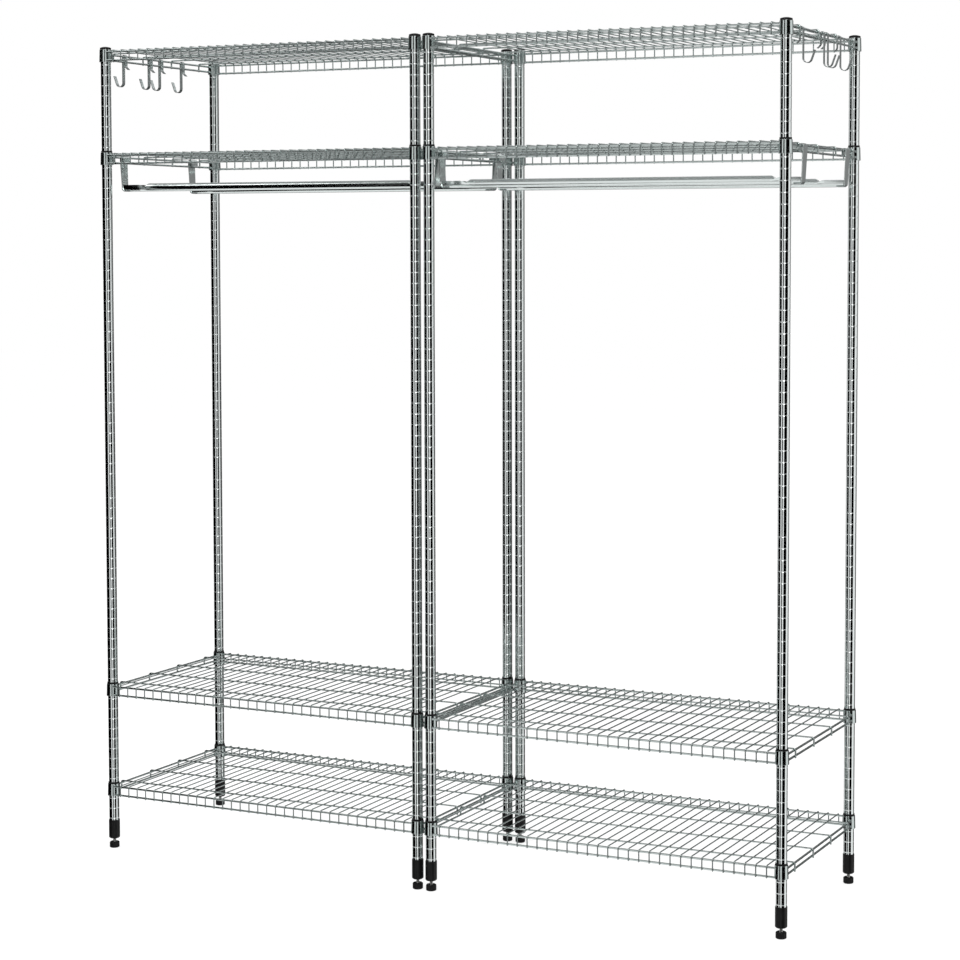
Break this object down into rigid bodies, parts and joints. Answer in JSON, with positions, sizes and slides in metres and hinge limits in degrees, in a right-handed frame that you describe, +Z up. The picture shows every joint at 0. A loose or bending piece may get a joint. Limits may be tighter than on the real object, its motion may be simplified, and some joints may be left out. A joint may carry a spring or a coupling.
{
  "type": "wire shelving unit with clothes rails",
  "caption": "Free-standing pair of wire shelving bays with grooved round posts, lift-off shelves, hanging rails, side hooks and screw levelling feet.",
  "frame": {"origin": "on the floor under the middle of the unit", "axes": "+X to the right along the width, +Y from the front to the rear, +Z up"},
  "size_m": [1.8614, 0.5096, 2.01],
  "materials": {
    "post_steel": "bright galvanised",
    "plug_steel": "turned",
    "shelf_wire": "bright galvanised",
    "rail_steel": "bright galvanised",
    "hook_steel": "bright galvanised",
    "stud_steel": "zinc plated",
    "cap_plastic": "moulded",
    "sleeve_plastic": "moulded",
    "socket_plastic": "moulded",
    "pad_plastic": "moulded"
  },
  "bodies": {
    "frame": {"post_lower_left_bay_front_left": "post_steel", "post_upper_left_bay_front_left": "post_steel", "post_lower_left_bay_front_right": "post_steel", "post_upper_left_bay_front_right": "post_steel", "post_lower_left_bay_rear_left": "post_steel", "post_upper_left_bay_rear_left": "post_steel", "post_lower_left_bay_rear_right": "post_steel", "post_upper_left_bay_rear_right": "post_steel", "post_plugs_left_bay": "plug_steel", "post_caps_left_bay": "cap_plastic", "foot_sockets_left_bay": "socket_plastic", "shelf_sleeves_left_bay": "sleeve_plastic", "post_lower_right_bay_front_left": "post_steel", "post_upper_right_bay_front_left": "post_steel", "post_lower_right_bay_front_right": "post_steel", "post_upper_right_bay_front_right": "post_steel", "post_lower_right_bay_rear_left": "post_steel", "post_upper_right_bay_rear_left": "post_steel", "post_lower_right_bay_rear_right": "post_steel", "post_upper_right_bay_rear_right": "post_steel", "post_plugs_right_bay": "plug_steel", "post_caps_right_bay": "cap_plastic", "foot_sockets_right_bay": "socket_plastic", "shelf_sleeves_right_bay": "sleeve_plastic"},
    "left_bottom_shelf": {"shelf_left_bay_bottom": "shelf_wire"},
    "left_lower_shelf": {"shelf_left_bay_lower": "shelf_wire"},
    "left_hanging_shelf": {"shelf_left_bay_hanging": "shelf_wire"},
    "left_top_shelf": {"shelf_left_bay_top": "shelf_wire"},
    "left_front_rail": {"clothes_rail_left_bay_front": "rail_steel"},
    "left_rear_rail": {"clothes_rail_left_bay_rear": "rail_steel"},
    "left_hook_1": {"hook_left_1": "hook_steel"},
    "left_hook_2": {"hook_left_2": "hook_steel"},
    "left_hook_3": {"hook_left_3": "hook_steel"},
    "left_hook_4": {"hook_left_4": "hook_steel"},
    "left_front_left_stud": {"foot_stud_left_bay_front_left": "stud_steel"},
    "left_front_left_pad": {"foot_pad_left_bay_front_left": "pad_plastic"},
    "left_front_right_stud": {"foot_stud_left_bay_front_right": "stud_steel"},
    "left_front_right_pad": {"foot_pad_left_bay_front_right": "pad_plastic"},
    "left_rear_left_stud": {"foot_stud_left_bay_rear_left": "stud_steel"},
    "left_rear_left_pad": {"foot_pad_left_bay_rear_left": "pad_plastic"},
    "left_rear_right_stud": {"foot_stud_left_bay_rear_right": "stud_steel"},
    "left_rear_right_pad": {"foot_pad_left_bay_rear_right": "pad_plastic"},
    "right_bottom_shelf": {"shelf_right_bay_bottom": "shelf_wire"},
    "right_lower_shelf": {"shelf_right_bay_lower": "shelf_wire"},
    "right_hanging_shelf": {"shelf_right_bay_hanging": "shelf_wire"},
    "right_top_shelf": {"shelf_right_bay_top": "shelf_wire"},
    "right_front_rail": {"clothes_rail_right_bay_front": "rail_steel"},
    "right_rear_rail": {"clothes_rail_right_bay_rear": "rail_steel"},
    "right_hook_1": {"hook_right_1": "hook_steel"},
    "right_hook_2": {"hook_right_2": "hook_steel"},
    "right_hook_3": {"hook_right_3": "hook_steel"},
    "right_hook_4": {"hook_right_4": "hook_steel"},
    "right_front_left_stud": {"foot_stud_right_bay_front_left": "stud_steel"},
    "right_front_left_pad": {"foot_pad_right_bay_front_left": "pad_plastic"},
    "right_front_right_stud": {"foot_stud_right_bay_front_right": "stud_steel"},
    "right_front_right_pad": {"foot_pad_right_bay_front_right": "pad_plastic"},
    "right_rear_left_stud": {"foot_stud_right_bay_rear_left": "stud_steel"},
    "right_rear_left_pad": {"foot_pad_right_bay_rear_left": "pad_plastic"},
    "right_rear_right_stud": {"foot_stud_right_bay_rear_right": "stud_steel"},
    "right_rear_right_pad": {"foot_pad_right_bay_rear_right": "pad_plastic"}
  },
  "joints": [
    {"name": "left_bottom_shelf_lift", "type": "slide", "parent": "frame", "child": "left_bottom_shelf", "axis": [0, 0, 1], "range_m": [0, 0.2]},
    {"name": "left_lower_shelf_lift", "type": "slide", "parent": "frame", "child": "left_lower_shelf", "axis": [0, 0, 1], "range_m": [0, 1.15]},
    {"name": "left_hanging_shelf_lift", "type": "slide", "parent": "frame", "child": "left_hanging_shelf", "axis": [0, 0, 1], "range_m": [0, 0.14]},
    {"name": "left_top_shelf_lift", "type": "slide", "parent": "frame", "child": "left_top_shelf", "axis": [0, 0, 1], "range_m": [0, 0.15]},
    {"name": "left_front_rail_slide", "type": "slide", "parent": "left_hanging_shelf", "child": "left_front_rail", "axis": [0, 1, 0], "range_m": [-0.0203, 0.0692]},
    {"name": "left_rear_rail_slide", "type": "slide", "parent": "left_hanging_shelf", "child": "left_rear_rail", "axis": [0, 1, 0], "range_m": [-0.0692, 0.0203]},
    {"name": "left_hook_1_slide", "type": "slide", "parent": "left_top_shelf", "child": "left_hook_1", "axis": [0, 1, 0], "range_m": [-0.03127, 0.04699]},
    {"name": "left_hook_2_slide", "type": "slide", "parent": "left_top_shelf", "child": "left_hook_2", "axis": [0, 1, 0], "range_m": [-0.01475, 0.01592]},
    {"name": "left_hook_3_slide", "type": "slide", "parent": "left_top_shelf", "child": "left_hook_3", "axis": [0, 1, 0], "range_m": [-0.01592, 0.04078]},
    {"name": "left_hook_4_slide", "type": "slide", "parent": "left_top_shelf", "child": "left_hook_4", "axis": [0, 1, 0], "range_m": [-0.03265, 0.07285]},
    {"name": "left_front_left_foot_travel", "type": "slide", "parent": "frame", "child": "left_front_left_stud", "axis": [0, 0, -1], "range_m": [-0.0076, 0.0101]},
    {"name": "left_front_left_foot_turn", "type": "hinge", "parent": "left_front_left_stud", "child": "left_front_left_pad", "pos_m": [-0.89, -0.239, 0], "axis": [0, 0, -1], "range_deg": [-2160, 2880]},
    {"name": "left_front_right_foot_travel", "type": "slide", "parent": "frame", "child": "left_front_right_stud", "axis": [0, 0, -1], "range_m": [-0.0076, 0.0101]},
    {"name": "left_front_right_foot_turn", "type": "hinge", "parent": "left_front_right_stud", "child": "left_front_right_pad", "pos_m": [-0.018, -0.239, 0], "axis": [0, 0, -1], "range_deg": [-2160, 2880]},
    {"name": "left_rear_left_foot_travel", "type": "slide", "parent": "frame", "child": "left_rear_left_stud", "axis": [0, 0, -1], "range_m": [-0.0076, 0.0101]},
    {"name": "left_rear_left_foot_turn", "type": "hinge", "parent": "left_rear_left_stud", "child": "left_rear_left_pad", "pos_m": [-0.89, 0.239, 0], "axis": [0, 0, -1], "range_deg": [-2160, 2880]},
    {"name": "left_rear_right_foot_travel", "type": "slide", "parent": "frame", "child": "left_rear_right_stud", "axis": [0, 0, -1], "range_m": [-0.0076, 0.0101]},
    {"name": "left_rear_right_foot_turn", "type": "hinge", "parent": "left_rear_right_stud", "child": "left_rear_right_pad", "pos_m": [-0.018, 0.239, 0], "axis": [0, 0, -1], "range_deg": [-2160, 2880]},
    {"name": "right_bottom_shelf_lift", "type": "slide", "parent": "frame", "child": "right_bottom_shelf", "axis": [0, 0, 1], "range_m": [0, 0.2]},
    {"name": "right_lower_shelf_lift", "type": "slide", "parent": "frame", "child": "right_lower_shelf", "axis": [0, 0, 1], "range_m": [0, 1.15]},
    {"name": "right_hanging_shelf_lift", "type": "slide", "parent": "frame", "child": "right_hanging_shelf", "axis": [0, 0, 1], "range_m": [0, 0.14]},
    {"name": "right_top_shelf_lift", "type": "slide", "parent": "frame", "child": "right_top_shelf", "axis": [0, 0, 1], "range_m": [0, 0.15]},
    {"name": "right_front_rail_slide", "type": "slide", "parent": "right_hanging_shelf", "child": "right_front_rail", "axis": [0, 1, 0], "range_m": [-0.0203, 0.0692]},
    {"name": "right_rear_rail_slide", "type": "slide", "parent": "right_hanging_shelf", "child": "right_rear_rail", "axis": [0, 1, 0], "range_m": [-0.0692, 0.0203]},
    {"name": "right_hook_1_slide", "type": "slide", "parent": "right_top_shelf", "child": "right_hook_1", "axis": [0, 1, 0], "range_m": [-0.01382, 0.06336]},
    {"name": "right_hook_2_slide", "type": "slide", "parent": "right_top_shelf", "child": "right_hook_2", "axis": [0, 1, 0], "range_m": [-0.03004, 0.00564]},
    {"name": "right_hook_3_slide", "type": "slide", "parent": "right_top_shelf", "child": "right_hook_3", "axis": [0, 1, 0], "range_m": [-0.00564, 0.03755]},
    {"name": "right_hook_4_slide", "type": "slide", "parent": "right_top_shelf", "child": "right_hook_4", "axis": [0, 1, 0], "range_m": [-0.02094, 0.08456]},
    {"name": "right_front_left_foot_travel", "type": "slide", "parent": "frame", "child": "right_front_left_stud", "axis": [0, 0, -1], "range_m": [-0.0076, 0.0101]},
    {"name": "right_front_left_foot_turn", "type": "hinge", "parent": "right_front_left_stud", "child": "right_front_left_pad", "pos_m": [0.018, -0.239, 0], "axis": [0, 0, -1], "range_deg": [-2160, 2880]},
    {"name": "right_front_right_foot_travel", "type": "slide", "parent": "frame", "child": "right_front_right_stud", "axis": [0, 0, -1], "range_m": [-0.0076, 0.0101]},
    {"name": "right_front_right_foot_turn", "type": "hinge", "parent": "right_front_right_stud", "child": "right_front_right_pad", "pos_m": [0.89, -0.239, 0], "axis": [0, 0, -1], "range_deg": [-2160, 2880]},
    {"name": "right_rear_left_foot_travel", "type": "slide", "parent": "frame", "child": "right_rear_left_stud", "axis": [0, 0, -1], "range_m": [-0.0076, 0.0101]},
    {"name": "right_rear_left_foot_turn", "type": "hinge", "parent": "right_rear_left_stud", "child": "right_rear_left_pad", "pos_m": [0.018, 0.239, 0], "axis": [0, 0, -1], "range_deg": [-2160, 2880]},
    {"name": "right_rear_right_foot_travel", "type": "slide", "parent": "frame", "child": "right_rear_right_stud", "axis": [0, 0, -1], "range_m": [-0.0076, 0.0101]},
    {"name": "right_rear_right_foot_turn", "type": "hinge", "parent": "right_rear_right_stud", "child": "right_rear_right_pad", "pos_m": [0.89, 0.239, 0], "axis": [0, 0, -1], "range_deg": [-2160, 2880]}
  ],
  "couplings": [
    {"joint": "left_front_left_foot_travel", "follows": "left_front_left_foot_turn", "m_per_rad": 0.00019894},
    {"joint": "left_front_right_foot_travel", "follows": "left_front_right_foot_turn", "m_per_rad": 0.00019894},
    {"joint": "left_rear_left_foot_travel", "follows": "left_rear_left_foot_turn", "m_per_rad": 0.00019894},
    {"joint": "left_rear_right_foot_travel", "follows": "left_rear_right_foot_turn", "m_per_rad": 0.00019894},
    {"joint": "right_front_left_foot_travel", "follows": "right_front_left_foot_turn", "m_per_rad": 0.00019894},
    {"joint": "right_front_right_foot_travel", "follows": "right_front_right_foot_turn", "m_per_rad": 0.00019894},
    {"joint": "right_rear_left_foot_travel", "follows": "right_rear_left_foot_turn", "m_per_rad": 0.00019894},
    {"joint": "right_rear_right_foot_travel", "follows": "right_rear_right_foot_turn", "m_per_rad": 0.00019894}
  ]
}
